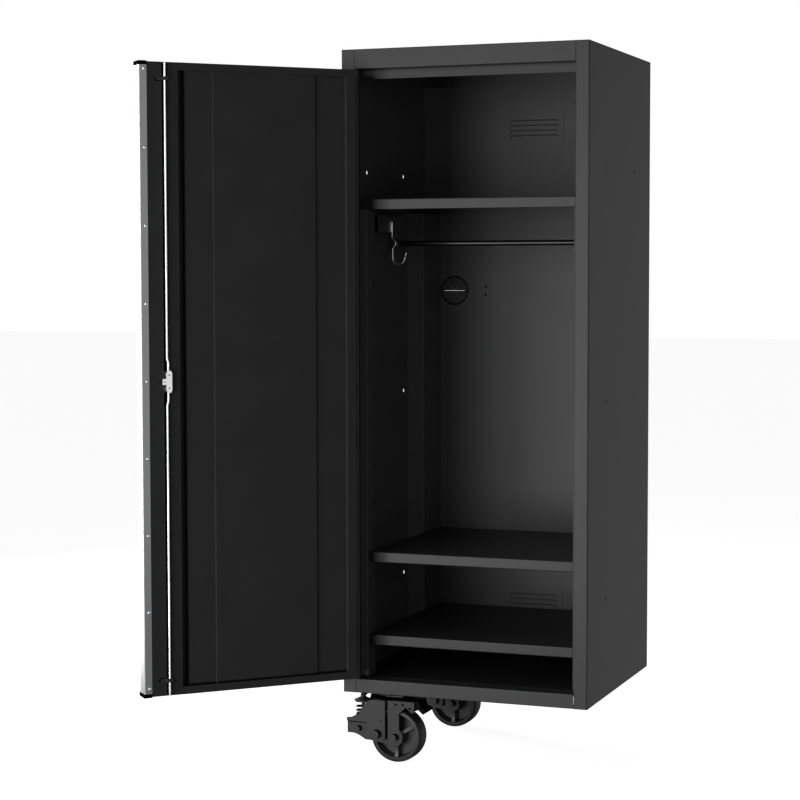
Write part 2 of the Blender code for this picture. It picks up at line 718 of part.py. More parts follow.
def rod_guide(name, z, door_axis):
    """Strap bent over a lock rod, with a foot on each side."""
    low, high = DOOR_INNER + GAP, 0.0458
    path = [
        (ROD_X + 0.0200, low), (ROD_X + 0.0062, low), (ROD_X + 0.0052, high),
        (ROD_X - 0.0052, high), (ROD_X - 0.0062, low), (ROD_X - 0.0110, low),
    ]
    half = 0.0038
    hang(prism(name, sheet_outline(path, PRESSED), "z", z - half, z + half), door_axis)


# ------------------------------------------------------------------- casters
def caster(tag, y):
    """Sprung swivel caster: the wheel arm pulls a rod down against a spring."""
    swivel = joint_axis(f"{tag}_swivel_axis", (SWIVEL_X, y, -0.0122))
    arm_axis = joint_axis(f"{tag}_arm_axis", (PIVOT[0], y, PIVOT[1]), swivel)
    mounting(tag, y, swivel)
    yoke(tag, y, swivel)
    spring_pack(tag, y, swivel)
    arm(tag, y, arm_axis)
    wheel(tag, y, arm_axis)
    brake(tag, y, arm_axis)


def mounting(tag, y, swivel):
    """Bolted top plate and the swivel race under it."""
    outline = rounded_rectangle(0.0625, 0.0500, 0.008, (SWIVEL_X, y), 2)
    prism(f"{tag}_top_plate", outline, "z", -GAP - 0.0040, -GAP)
    race = [
        (0.0, -0.0046), (0.0360, -0.0046), (0.0400, -0.0075), (0.0400, -0.0105),
        (0.0360, -0.0122), (0.0, -0.0122),
    ]
    hang(turned(f"{tag}_swivel_race", "z", (SWIVEL_X, y), race, 28), swivel)


def yoke(tag, y, swivel):
    """Two cheeks under a bridge, the spring's seat, and a pivot bolt on each side."""
    inner, outer = YOKE_HALF
    outline = [
        (-0.2600, CHEEK_TOP), (-0.2168, CHEEK_TOP), (-0.2164, -0.1150), (-0.2205, -0.1235),
        (-0.2330, -0.1245), (-0.2500, -0.1240), (-0.2610, -0.1190), (-0.2650, -0.1080),
        (-0.2640, -0.0815), (-0.3166, -0.0808), (-0.3170, -0.0730), (-0.2975, -0.0710),
        (-0.2850, -0.0615), (-0.2775, -0.0490), (-0.2700, -0.0370),
    ]
    near = prism(f"{tag}_yoke", outline, "y", y - outer, y - inner)
    far = prism(f"{tag}_yoke_far", outline, "y", y + inner, y + outer)
    bridge = block(f"{tag}_yoke_bridge", (-0.2560, -0.1720), (y - 0.0268, y + 0.0268), (-0.0162, -0.0125))
    half = [(outer, CHEEK_TOP - 0.0004), (outer, CHEEK_TOP + 0.0010), (0.0270, -0.0125), (0.0240, -0.0125),
            (0.0240, -0.0162), (0.0252, -0.0162), (inner, CHEEK_TOP - 0.0004)]
    shoulders = [prism(f"{tag}_yoke_shoulder_{k}", [(y + side * a, b) for a, b in half], "x", -0.2560, -0.2172)
                 for k, side in enumerate((-1, 1))]
    seat_y = (y - inner - 0.001, y + inner + 0.001)
    seat = block(f"{tag}_yoke_seat", (-0.3138, -0.2660), seat_y, (SEAT_TOP - 0.0040, SEAT_TOP))
    bolts = []
    for where, side in (("near", -1), ("far", 1)):
        profile = [
            (0.0, y + side * 0.0480), (0.0075, y + side * 0.0480), (0.0085, y + side * 0.0468),
            (0.0085, y + side * (outer - 0.0010)), (0.0050, y + side * (outer - 0.0010)),
            (0.0050, y + side * 0.0262), (0.0, y + side * 0.0262),
        ]
        bolts.append(turned(f"{tag}_pivot_{where}", "y", PIVOT, profile, 20))
    add(near, bridge, *shoulders, far, seat, *bolts)
    cut(near, disc(f"{tag}_rod_hole", "z", (PULL_ROD_X, y), 0.0052, SEAT_TOP - 0.013, SEAT_TOP + 0.007, 16))
    hang(near, swivel)


def arm(tag, y, arm_axis):
    """Pair of arm plates that pivot on the yoke and carry the wheel's axle."""
    inner, outer = ARM_HALF
    outline = [
        (-0.3166, -0.0812), (-0.2620, -0.0822), (-0.2400, -0.0925), (-0.2180, -0.1215),
        (-0.2107, -0.1215), (-0.2107, -0.0255), (-0.1830, -0.0245), (-0.1634, -0.0250),
        (-0.1412, -0.0250), (-0.1415, -0.0330), (-0.1440, -0.0520), (-0.1500, -0.0520),
        (-0.1640, -0.0385), (-0.1815, -0.0560), (-0.1815, -0.0965), (-0.1745, -0.1045),
        (-0.1718, -0.1150), (-0.1745, -0.1255), (-0.1820, -0.1335), (-0.1930, -0.1362),
        (-0.2236, -0.1305), (-0.2560, -0.1260), (-0.2689, -0.1255), (-0.2856, -0.1160),
        (-0.2977, -0.1115), (-0.3166, -0.1108),
    ]
    near = prism(f"{tag}_arm", outline, "y", y - outer, y - inner)
    far = prism(f"{tag}_arm_far", outline, "y", y + inner, y + outer)
    tie_y = (y - outer + 0.001, y + outer - 0.001)
    ties = [disc(f"{tag}_arm_tie_{k}", "y", centre, radius, *tie_y, 14)
            for k, (centre, radius) in enumerate(((LEG_TIE, 0.0045), (CROSS_PIN, 0.0050)))]
    add(near, *ties, far)
    bores = [(PIVOT, 0.0054, 20), ((AXLE_X, AXLE_Z), 0.0053, 20), (BRAKE_PIN, 0.0033, 16)]
    bores += [((x, LEG_TIE[1]), 0.0026, 12) for x in (-0.1905, -0.1710)]
    cut(near, *[disc(f"{tag}_arm_bore_{k}", "y", centre, radius, y - 0.04, y + 0.04, sides)
                for k, (centre, radius, sides) in enumerate(bores)])
    hang(near, arm_axis)

    axle = [
        (0.0, y - 0.0440), (0.0070, y - 0.0440), (0.0080, y - 0.0428), (0.0080, y - outer - GAP),
        (0.0050, y - outer - GAP), (0.0050, y + outer + GAP), (0.0080, y + outer + GAP),
        (0.0080, y + 0.0440), (0.0, y + 0.0440),
    ]
    hang(turned(f"{tag}_axle", "y", (AXLE_X, AXLE_Z), axle, 20), arm_axis)


def wheel(tag, y, arm_axis):
    """Dished centre with three ribs, and the tyre round it."""
    wheel_axis = joint_axis(f"{tag}_wheel_axis", (AXLE_X, y, AXLE_Z), arm_axis)
    centre = Vector((AXLE_X, AXLE_Z))
    near_side = [
        (0.0054, -0.0250), (0.0150, -0.0250), (0.0165, -0.0140), (0.0420, -0.0040),
        (0.0495, -0.0080), (0.0500, -WHEEL_HALF), (0.0605, -WHEEL_HALF),
    ]
    core = [(radius, y + depth) for radius, depth in near_side]
    core += [(radius, y - depth) for radius, depth in reversed(near_side)]
    hub = turned(f"{tag}_wheel", "y", centre, core, 40)
    for k in range(3):
        angle = math.radians(-90 + 120 * k)
        along = Vector((math.cos(angle), math.sin(angle)))
        across = Vector((-along.y, along.x)) * 0.0030
        a, b = centre + along * 0.0140, centre + along * 0.0500
        corners = [tuple(p) for p in (a - across, b - across, b + across, a + across)]
        add(hub, prism(f"{tag}_rib_{k}", corners, "y", y - 0.0195, y + 0.0195))
    hang(hub, wheel_axis)

    tread = [
        (0.0608, 0.0012 - WHEEL_HALF), (0.0625, 0.0010 - WHEEL_HALF), (0.0642, 0.0030 - WHEEL_HALF),
        (WHEEL_R, -0.0120),
    ]
    tyre = [(radius, y + depth) for radius, depth in tread]
    tyre += [(radius, y - depth) for radius, depth in reversed(tread)]
    hang(turned(f"{tag}_tyre", "y", centre, tyre, 40), wheel_axis)


def spring_pack(tag, y, swivel):
    """Pull rod with its cup washer, and the spring it squeezes."""
    x = PULL_ROD_X
    profile = [
        (0.0, -0.0180), (0.0060, -0.0180), (0.0070, -0.0195), (0.0070, -0.0270), (0.0100, -0.0275),
        (0.0220, -0.0330), (0.0225, -0.0365), (0.0200, CUP_Z - 0.0015), (0.0045, CUP_Z - 0.0015),
        (0.0045, -0.0845), (0.0, -0.0845),
    ]
    rod = turned(f"{tag}_pull_rod", "z", (x, y), profile, 20)
    eye = block(f"{tag}_rod_eye", (x - 0.0100, x + 0.0105), (y - 0.0080, y + 0.0080), (-0.1080, -0.0840))
    add(rod, eye)
    cut(rod, disc(f"{tag}_eye_hole", "y", CROSS_PIN, 0.0064, y - 0.01, y + 0.01, 16))
    hang(rod, joint_axis(f"{tag}_rod_axis", (x, y, CUP_Z), swivel))

    low, high = SEAT_TOP + 0.0027, CUP_Z - 0.0045
    coil_r, wire_r = 0.0165, 0.0022
    turns, steps = 3.5, 12
    total = int(turns * steps)
    points = []
    for k in range(total + 1):
        turn = 2 * math.pi * k / steps
        z = low + (high - low) * k / total
        points.append((x + coil_r * math.cos(turn), y + coil_r * math.sin(turn), z))
    hang(bent_wire(f"{tag}_spring", points, wire_r, 6), swivel)


def brake(tag, y, arm_axis):
    """Foot pedal whose cross bar presses on the tread."""
    half = 0.0262
    outline = [
        (-0.1600, -0.0360), (-0.1468, -0.0266), (-0.1325, -0.0228), (-0.1300, -0.0313),
        (-0.1265, -0.0408), (-0.1201, -0.0417), (-0.1123, -0.0478), (-0.1209, -0.0547),
        (-0.1335, -0.0440), (-0.1400, -0.0470), (-0.1530, -0.0490),
    ]
    pedal = prism(f"{tag}_brake_pedal", outline, "y", y - half, y + half)
    clearance = WHEEL_R + 0.0035
    relief = disc(f"{tag}_brake_relief", "y", (AXLE_X, AXLE_Z), clearance, y - 0.03, y + 0.03, 40)
    pin = disc(f"{tag}_brake_pin", "y", BRAKE_PIN, 0.0029, y - 0.0322, y + 0.0322, 14)
    cut(pedal, relief)
    add(pedal, pin)
    hang(pedal, joint_axis(f"{tag}_brake_axis", (BRAKE_PIN[0], y, BRAKE_PIN[1]), arm_axis))


# ---------------------------------------------------------------- materials
def finish_of(name):
    """Finish of a piece from the words in its name; the body is powder coated."""
    for finish, words in FINISH_WORDS.items():
        if any(word in name for word in words):
            return finish
    return "body_paint"


def paint(piece):
    colour, roughness, metallic = FINISHES[finish_of(piece.name)]
    material = bpy.data.materials.new(f"{piece.name}_finish")
    material.use_nodes = True
    shader = material.node_tree.nodes["Principled BSDF"]
    shader.inputs["Base Color"].default_value = (*colour, 1.0)
    shader.inputs["Roughness"].default_value = roughness
    shader.inputs["Metallic"].default_value = metallic
    material.diffuse_color = (*colour, 1.0)
    piece.data.materials.append(material)


def locker():
    body()
    shelves()
    hanging_gear()
    door_axis = joint_axis("door_axis", (HINGE_X, HINGE_Y, 0.0))
    hinge(door_axis)
    door(door_axis)
    lock(door_axis)
    door_axis.rotation_euler.z = -DOOR_OPEN
    for tag, y in zip(("front_caster", "rear_caster"), CASTER_Y):
        caster(tag, y)
    for piece in bpy.data.objects:
        if piece.type == "MESH" and not piece.hide_render:
            paint(piece)


for leftover in list(bpy.data.objects):
    bpy.data.objects.remove(leftover, do_unlink=True)
locker()
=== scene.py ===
"""Looks of the side locker of a rolling tool chest: finishes, small fittings, lights and camera."""

import json
import math

import bmesh
import bpy
from mathutils import Matrix, Vector

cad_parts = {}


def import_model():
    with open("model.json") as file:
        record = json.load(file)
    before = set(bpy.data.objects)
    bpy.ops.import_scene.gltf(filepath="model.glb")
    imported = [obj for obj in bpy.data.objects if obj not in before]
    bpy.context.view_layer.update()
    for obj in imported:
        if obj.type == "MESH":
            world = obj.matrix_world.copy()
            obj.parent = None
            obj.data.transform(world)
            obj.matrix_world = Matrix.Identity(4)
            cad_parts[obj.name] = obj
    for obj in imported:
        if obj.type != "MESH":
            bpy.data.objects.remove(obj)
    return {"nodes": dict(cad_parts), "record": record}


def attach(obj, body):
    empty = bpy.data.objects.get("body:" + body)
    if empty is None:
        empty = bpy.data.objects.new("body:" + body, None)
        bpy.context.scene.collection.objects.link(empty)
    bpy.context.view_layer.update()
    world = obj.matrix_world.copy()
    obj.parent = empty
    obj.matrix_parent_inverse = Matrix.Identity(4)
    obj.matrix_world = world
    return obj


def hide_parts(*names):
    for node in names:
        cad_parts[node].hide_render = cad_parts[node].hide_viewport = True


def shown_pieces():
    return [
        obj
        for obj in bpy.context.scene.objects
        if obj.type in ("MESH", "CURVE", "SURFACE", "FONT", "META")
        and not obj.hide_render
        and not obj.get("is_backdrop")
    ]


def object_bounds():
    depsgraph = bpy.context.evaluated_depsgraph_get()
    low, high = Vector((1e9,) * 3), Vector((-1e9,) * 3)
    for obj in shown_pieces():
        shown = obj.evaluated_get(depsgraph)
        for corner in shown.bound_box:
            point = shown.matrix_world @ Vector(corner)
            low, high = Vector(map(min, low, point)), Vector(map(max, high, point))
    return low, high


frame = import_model()
cad_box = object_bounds()
nodes = frame["nodes"]


# ----------------------------------------------------------------- materials
CLOUD_SCALE = 9.0       # faint patches in the paint
PEEL_SCALE = 900.0      # orange peel of the paint
GRAIN_SCALE = 500.0     # grain of rubber, plastic and metal


def new_material(name, base, roughness, metallic=0.0):
    """Principled material, with its node tree, shader and object coordinates."""
    material = bpy.data.materials.new(name)
    material.use_nodes = True
    tree = material.node_tree
    shader = tree.nodes["Principled BSDF"]
    shader.inputs["Base Color"].default_value = (*base, 1.0)
    shader.inputs["Roughness"].default_value = roughness
    shader.inputs["Metallic"].default_value = metallic
    coords = tree.nodes.new("ShaderNodeTexCoord")
    return material, tree, shader, coords.outputs["Object"]


def noise(tree, vector, scale, detail=2.0):
    texture = tree.nodes.new("ShaderNodeTexNoise")
    texture.inputs["Scale"].default_value = scale
    texture.inputs["Detail"].default_value = detail
    tree.links.new(vector, texture.inputs["Vector"])
    return texture.outputs["Fac"]


def remap(tree, value, low, high):
    """Value from 0 to 1 carried onto low to high."""
    node = tree.nodes.new("ShaderNodeMapRange")
    node.inputs["To Min"].default_value = low
    node.inputs["To Max"].default_value = high
    tree.links.new(value, node.inputs["Value"])
    return node.outputs["Result"]


def tint(tree, value, dark, light):
    """Colour that runs from dark to light over the middle of a value's range."""
    ramp = tree.nodes.new("ShaderNodeValToRGB")
    first, last = ramp.color_ramp.elements
    first.position, last.position = 0.35, 0.65
    first.color, last.color = (*dark, 1.0), (*light, 1.0)
    tree.links.new(value, ramp.inputs["Fac"])
    return ramp.outputs["Color"]


def grain(tree, shader, place, scale, rough, strength, depth):
    """Fine grain that varies the roughness and gives the surface a slight relief."""
    value = noise(tree, place, scale)
    tree.links.new(remap(tree, value, *rough), shader.inputs["Roughness"])
    relief = tree.nodes.new("ShaderNodeBump")
    relief.inputs["Strength"].default_value = strength
    relief.inputs["Distance"].default_value = depth
    tree.links.new(value, relief.inputs["Height"])
    tree.links.new(relief.outputs["Normal"], shader.inputs["Normal"])


def powder_coat(name, grey, roughness=0.45):
    """Charcoal powder coat: fine orange peel and a faint cloudiness."""
    base = (grey, grey * 1.005, grey * 1.02)
    material, tree, shader, place = new_material(name, base, roughness)
    dark, light = (tuple(gain * c for c in base) for gain in (0.94, 1.06))
    cloud = noise(tree, place, CLOUD_SCALE, 3.0)
    tree.links.new(tint(tree, cloud, dark, light), shader.inputs["Base Color"])
    grain(tree, shader, place, PEEL_SCALE, (roughness - 0.05, roughness + 0.05), 0.12, 0.0004)
    return material


def plain(name, base, roughness, metallic=0.0):
    """Even finish with a fine grain, for rubber, plastic, enamel and metal."""
    material, tree, shader, place = new_material(name, base, roughness, metallic)
    grain(tree, shader, place, GRAIN_SCALE, (roughness * 0.85, roughness * 1.15), 0.05, 0.0003)
    return material


def dull(name, grey, roughness):
    """Dark finish with no highlight, for shaded depths and matt plastic."""
    material = plain(name, (grey, grey, grey), roughness)
    shader = material.node_tree.nodes["Principled BSDF"]
    shader.inputs["Specular IOR Level"].default_value = 0.0
    return material


MATERIALS = {
    "body_paint": powder_coat("body_powder_coat", 0.040),
    # the door's and edge channel's coats are darker copies of the body's powder coat: painted shade
    "door_paint": powder_coat("door_shade_powder_coat", 0.0320),
    "channel_shade_paint": powder_coat("channel_shade_powder_coat", 0.0265),
    "caster_paint": powder_coat("caster_powder_coat", 0.0315),
    "wheel_paint": powder_coat("wheel_powder_coat", 0.048, 0.42),
    # the ribs take a lighter copy of the wheel's coat: painted highlight
    "rib_highlight_paint": powder_coat("rib_highlight_powder_coat", 0.085, 0.40),
    # the floor's and shelves' coats are darker copies of the body's powder coat: painted shade
    "floor_shade_paint": powder_coat("floor_shade_powder_coat", 0.003, 0.80),
    "mid_shelf_shade_paint": powder_coat("mid_shelf_shade_powder_coat", 0.0350),
    "low_shelf_shade_paint": powder_coat("low_shelf_shade_powder_coat", 0.0315),
    # pale coat for the uprights' folds: painted highlight
    "fold_highlight": powder_coat("fold_highlight_powder_coat", 0.110, 0.35),
    "rod_enamel": plain("black_enamel", (0.010, 0.010, 0.010), 0.22),
    "tyre_rubber": plain("tyre_rubber", (0.030, 0.030, 0.031), 0.50),
    "soft_rubber": plain("grommet_rubber", (0.026, 0.026, 0.026), 0.60),
    # pale strips along the outlet leaves' cuts: painted light
    "slit_light": plain("painted_slit_light", (0.300, 0.300, 0.300), 0.50),
    "black_plastic": dull("black_plastic", 0.003, 0.40),
    "gloss_plastic": plain("gloss_plastic", (0.010, 0.010, 0.011), 0.18),
    "trim_aluminium": plain("satin_aluminium", (0.62, 0.625, 0.635), 0.34, 0.85),
    "bright_chrome": plain("bright_chrome", (0.92, 0.92, 0.93), 0.16, 0.85),
    "bare_steel": plain("bare_steel", (0.16, 0.16, 0.16), 0.38, 0.9),
    "dark_steel": plain("dark_steel", (0.12, 0.12, 0.12), 0.35, 0.8),
    "shadow_gap": dull("shadow_gap", 0.002, 0.90),
    "deep_shade": dull("deep_shade", 0.0015, 0.80),
    "crease_shade": plain("crease_shade", (0.016, 0.016, 0.016), 0.70),
    "soft_shade": dull("soft_shade", 0.014, 0.80),
    "pedal_plastic": dull("matt_plastic", 0.014, 0.60),
}

# nodes whose shade differs from the rest of their slot in the photograph; the floor, shelves, door
# sheet and edge channel take darker copies of the powder coat as painted shade
OWN_SHADE = {
    "floor_panel": "floor_shade_paint",
    "upper_shelf": "mid_shelf_shade_paint",
    "lower_shelf": "low_shelf_shade_paint",
    "door_inner_panel": "door_paint",
    "door_edge_channel": "channel_shade_paint",
    "front_caster_brake_pedal": "pedal_plastic",
    "rear_caster_brake_pedal": "pedal_plastic",
    "front_caster_spring": "soft_shade",
    "rear_caster_spring": "soft_shade",
}


def dress_frame():
    """Give every CAD node its own shade, or else the finish of its slot in the record."""
    for part in frame["record"]["subparts"]:
        finish = OWN_SHADE.get(part["node"], part["material_slot"])
        slots = nodes[part["node"]].data.materials
        for k in range(len(slots)):
            slots[k] = MATERIALS[finish]


dress_frame()


# ------------------------------------------------------------------ fittings
# Metres, in the locker's own coordinates: x across the front from mid width, y back from the
# front face, z up from the underside of the body. The door's fittings are laid out with it shut.
MIDDLE = Vector((0.3065, 0.2870, 0.7745))   # the frame's origin
HINGE = Vector((-0.2745, -0.0035, 0.0))
DOOR_OPEN = math.radians(134.6)
IN_LOCKER = Matrix.Translation(-MIDDLE)
SWUNG = Matrix.Translation(HINGE) @ Matrix.Rotation(-DOOR_OPEN, 4, "Z") @ Matrix.Translation(-HINGE)
IN_DOOR = IN_LOCKER @ SWUNG                 # shut door's coordinates, swung open

DOOR_FACE = 0.0373              # inner face of the shut door
RAISED_FACE = 0.0333            # raised middle of its inner sheet
SUNK_FACE = 0.0283              # the sheet on both sides of it
LOCK = (HINGE.x + 0.4820, 0.7703)
LOCK_ROD_X = HINGE.x + 0.4850
LOCK_ROD_Y = 0.0418
LOCK_ROD_R = 0.0027

BACK_WALL = 0.5707              # inner face of the back wall
LOUVRE_FIELD = 0.5693           # the pressed field that the louvres stand in
RAIL_FACE = 0.2770              # rails that hold the clothes rod, left and right of the middle
UPRIGHT_FACE = -0.2585          # slotted face of the left-hand uprights
SLOT_PITCH = 0.0886
LOUVRE_PITCH = 0.0130
OUTLET = (-0.2195, 0.9695)      # cable outlet

CASTER_Y = {"front": 0.0805, "rear": 0.4995}
AXLE = (-0.1925, -0.1133)
PIVOT_NUT = (-0.2387, -0.1080)
CROSS_PIN = (-0.2870, -0.0980)
WHEEL_R = 0.0650
YOKE_FACE = 0.0355              # outer faces of the yoke, from the caster's middle
ARM_FACE = 0.0310               # outer faces of the arm

FILM = 0.0002                   # thickness of the strips that stand for shaded depths
OFF_FACE = 0.00005              # keeps a strip's face from falling on the sheet's own
SHARP_EDGE = math.radians(32.0)


def axis_point(axis, a, b, c):
    """Point with c along the axis and a, b along the two others in order."""
    if axis == "x":
        return Vector((c, a, b))
    if axis == "y":
        return Vector((a, c, b))
    return Vector((a, b, c))


def join_rings(bm, rings, sides):
    """Faces between neighbouring rings, where a ring may be a single point."""
    for first, second in zip(rings, rings[1:]):
        for k in range(sides):
            n = (k + 1) % sides
            corners = [first[k % len(first)], first[n % len(first)]]
            corners += [second[n % len(second)], second[k % len(second)]]
            corners = list(dict.fromkeys(corners))
            if len(corners) > 2:
                bm.faces.new(corners)


def lathe(bm, axis, centre, profile, sides):
    """Profile of (radius, distance along the axis) turned about an axis."""
    rings = []
    for radius, along in profile:
        if radius < 1e-7:
            rings.append([bm.verts.new(axis_point(axis, *centre, along))])
            continue
        ring = []
        for k in range(sides):
            turn = 2 * math.pi * k / sides
            a = centre[0] + radius * math.cos(turn)
            b = centre[1] + radius * math.sin(turn)
            ring.append(bm.verts.new(axis_point(axis, a, b, along)))
        rings.append(ring)
    join_rings(bm, rings, sides)


def closed_lathe(bm, axis, centre, profile, sides):
    """Ring turned from a profile whose end meets its start."""
    lathe(bm, axis, centre, list(profile) + [profile[0]], sides)
    bmesh.ops.remove_doubles(bm, verts=bm.verts, dist=1e-6)


def disc(bm, axis, centre, radius, low, high, sides):
    """Plain round from low to high along an axis."""
    lathe(bm, axis, centre, [(0.0, low), (radius, low), (radius, high), (0.0, high)], sides)


def box(bm, x, y, z, bevel=0.0):
    """Block between two values of each coordinate."""
    made = bmesh.ops.create_cube(bm, size=1.0)["verts"]
    size = Matrix.Diagonal((x[1] - x[0], y[1] - y[0], z[1] - z[0], 1.0))
    move = Matrix.Translation(((x[0] + x[1]) / 2, (y[0] + y[1]) / 2, (z[0] + z[1]) / 2))
    bmesh.ops.transform(bm, matrix=move @ size, verts=made)
    if bevel:
        edges = list(dict.fromkeys(edge for vert in made for edge in vert.link_edges))
        bmesh.ops.bevel(bm, geom=edges, offset=bevel, segments=2, affect="EDGES", profile=0.5)


def prism(bm, first, second):
    """Solid between two outlines of as many points."""
    first = [bm.verts.new(point) for point in first]
    second = [bm.verts.new(point) for point in second]
    bm.faces.new(first)
    bm.faces.new(list(reversed(second)))
    for k in range(len(first)):
        n = (k + 1) % len(first)
        bm.faces.new((first[k], first[n], second[n], second[k]))


def plate(bm, axis, outline, low, high):
    """Flat plate of constant thickness from an outline."""
    prism(bm, *([axis_point(axis, a, b, level) for a, b in outline] for level in (low, high)))


def hexagon(centre, across, turn):
    """Outline of a nut, measured across its flats."""
    radius = across / math.sqrt(3)
    corners = [math.radians(turn + 60 * k) for k in range(6)]
    return [(centre[0] + radius * math.cos(c), centre[1] + radius * math.sin(c)) for c in corners]


def smooth_path(points, steps=6):
    """Points along a smooth curve through the given ones."""
    points = [Vector(p) for p in points]
    whole = [points[0]] + points + [points[-1]]
    path = []
    for a, b, c, d in zip(whole, whole[1:], whole[2:], whole[3:]):
        for k in range(steps):
            t = k / steps
            curve = 2 * b + (c - a) * t + (2 * a - 5 * b + 4 * c - d) * t * t
            path.append((curve + (3 * b - a - 3 * c + d) * t ** 3) / 2)
    return path + [points[-1]]


def tube(bm, path, radius, sides=24):
    """Round bar along a path, with domed ends."""
    path = [Vector(p) for p in path]
    start = (path[0] - path[1]).normalized()
    end = (path[-1] - path[-2]).normalized()
    stations = [(path[0] + start * radius * r, w) for r, w in ((0.50, 0.35), (0.30, 0.75))]
    stations += [(p, 1.0) for p in path]
    stations += [(path[-1] + end * radius * r, w) for r, w in ((0.30, 0.75), (0.50, 0.35))]
    side = None
    rings = []
    for k, (point, scale) in enumerate(stations):
        before = stations[max(k - 1, 0)][0]
        after = stations[min(k + 1, len(stations) - 1)][0]
        along = (after - before).normalized()
        if side is None:
            side = along.orthogonal().normalized()
        side = (side - along * side.dot(along)).normalized()
        other = along.cross(side)
        ring = []
        for j in range(sides):
            turn = 2 * math.pi * j / sides
            outward = side * math.cos(turn) + other * math.sin(turn)
            ring.append(bm.verts.new(point + outward * radius * scale))
        rings.append(ring)
    join_rings(bm, rings, sides)
    bm.faces.new(rings[0])
    bm.faces.new(list(reversed(rings[-1])))


def ribbon(bm, axis, points, widths, low, high):
    """Flat strip whose width changes along a line of points."""
    left, right = [], []
    for k, (a, b) in enumerate(points):
        before, after = points[max(k - 1, 0)], points[min(k + 1, len(points) - 1)]
        along = Vector((after[0] - before[0], after[1] - before[1])).normalized()
        half = widths[k] / 2
        left.append((a - along.y * half, b + along.x * half))
        right.append((a + along.y * half, b - along.x * half))
    plate(bm, axis, left + list(reversed(right)), low, high)


def mirrored(profile):
    """Profile of the far side of something symmetrical, carrying on from the near side's."""
    return [(radius, -along) for radius, along in reversed(profile)]


def shifted(profile, y):
    return [(radius, y + along) for radius, along in profile]


def piece(name, bm, body, material, where=IN_LOCKER, replaces=()):
    """Finished fitting: placed, shaded and riding on its body."""
    bmesh.ops.recalc_face_normals(bm, faces=bm.faces)
    bmesh.ops.transform(bm, matrix=where, verts=bm.verts)
    mesh = bpy.data.meshes.new(name)
    bm.to_mesh(mesh)
    bm.free()
    mesh.shade_smooth()
    mesh.set_sharp_from_angle(angle=SHARP_EDGE)
    mesh.materials.append(MATERIALS[material])
    obj = bpy.data.objects.new(name, mesh)
    bpy.context.scene.collection.objects.link(obj)
    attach(obj, body)
    if replaces:
        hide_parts(*replaces)


def lock_fittings():
    """Bent lock rods, the cover's rivets, and painted shade round the lock: crescents by the rod
    guides, bands beside the rods and the lever's hole.
    """
    for name, sign, end in (("upper", 1, 1.4960), ("lower", -1, 0.0439)):
        near = LOCK[0] + 0.0005
        bends = (
            (near, 0.0090), (near, 0.0300), (near, 0.0430),
            (LOCK_ROD_X, 0.0550), (LOCK_ROD_X, 0.0700),
        )
        path = smooth_path([(x, LOCK_ROD_Y, LOCK[1] + sign * z) for x, z in bends])
        path.append(Vector((LOCK_ROD_X, LOCK_ROD_Y, end - sign * 0.0015)))
        bm = bmesh.new()
        tube(bm, path, LOCK_ROD_R)
        piece(f"{name}_lock_bar", bm, f"{name}_rod", "bright_chrome", IN_DOOR, [f"{name}_lock_rod"])

    rivet = [(0.0, 0.0477), (0.0017, 0.0477), (0.0017, 0.0480), (0.0010, 0.0483), (0.0, 0.0483)]
    bm = bmesh.new()
    for rise in (-0.0149, 0.0149):
        lathe(bm, "y", (LOCK[0], LOCK[1] + rise), rivet, 20)
    piece("lock_cover_rivets", bm, "door", "dark_steel", IN_DOOR)

    # dark crescents by the feet of the rod guides: painted shadow
    curve = (
        (0.5090, 0.0030), (0.5078, -0.0010), (0.5050, -0.0040), (0.5000, -0.0056),
        (0.4930, -0.0060),
    )
    widths = (0.0030, 0.0040, 0.0036, 0.0026, 0.0012)
    bm = bmesh.new()
    for level, flip in ((1.4590, 1), (0.0800, -1)):
        points = [(HINGE.x + a, level + flip * b) for a, b in curve]
        ribbon(bm, "y", points, widths, DOOR_FACE + OFF_FACE, DOOR_FACE + 0.0003)
    piece("guide_shadows", bm, "door", "shadow_gap", IN_DOOR)

    # dark bands down both sides of the lock rods: painted shadow of the rods
    shadow_band = (LOCK_ROD_X - 0.0062, LOCK_ROD_X + 0.0062)
    bm = bmesh.new()
    for z in ((0.0470, LOCK[1] - 0.0240), (LOCK[1] + 0.0240, 1.4930)):
        box(bm, shadow_band, (DOOR_FACE + OFF_FACE, DOOR_FACE + FILM), z)
    piece("rod_shadow_band", bm, "door", "deep_shade", IN_DOOR)

    # dark disc in the lever's hole: painted shade
    bm = bmesh.new()
    disc(bm, "y", (LOCK[0] + 0.0112, LOCK[1]), 0.0016, 0.0499, 0.0502, 20)
    piece("lever_hole_shade", bm, "lock", "shadow_gap", IN_DOOR)


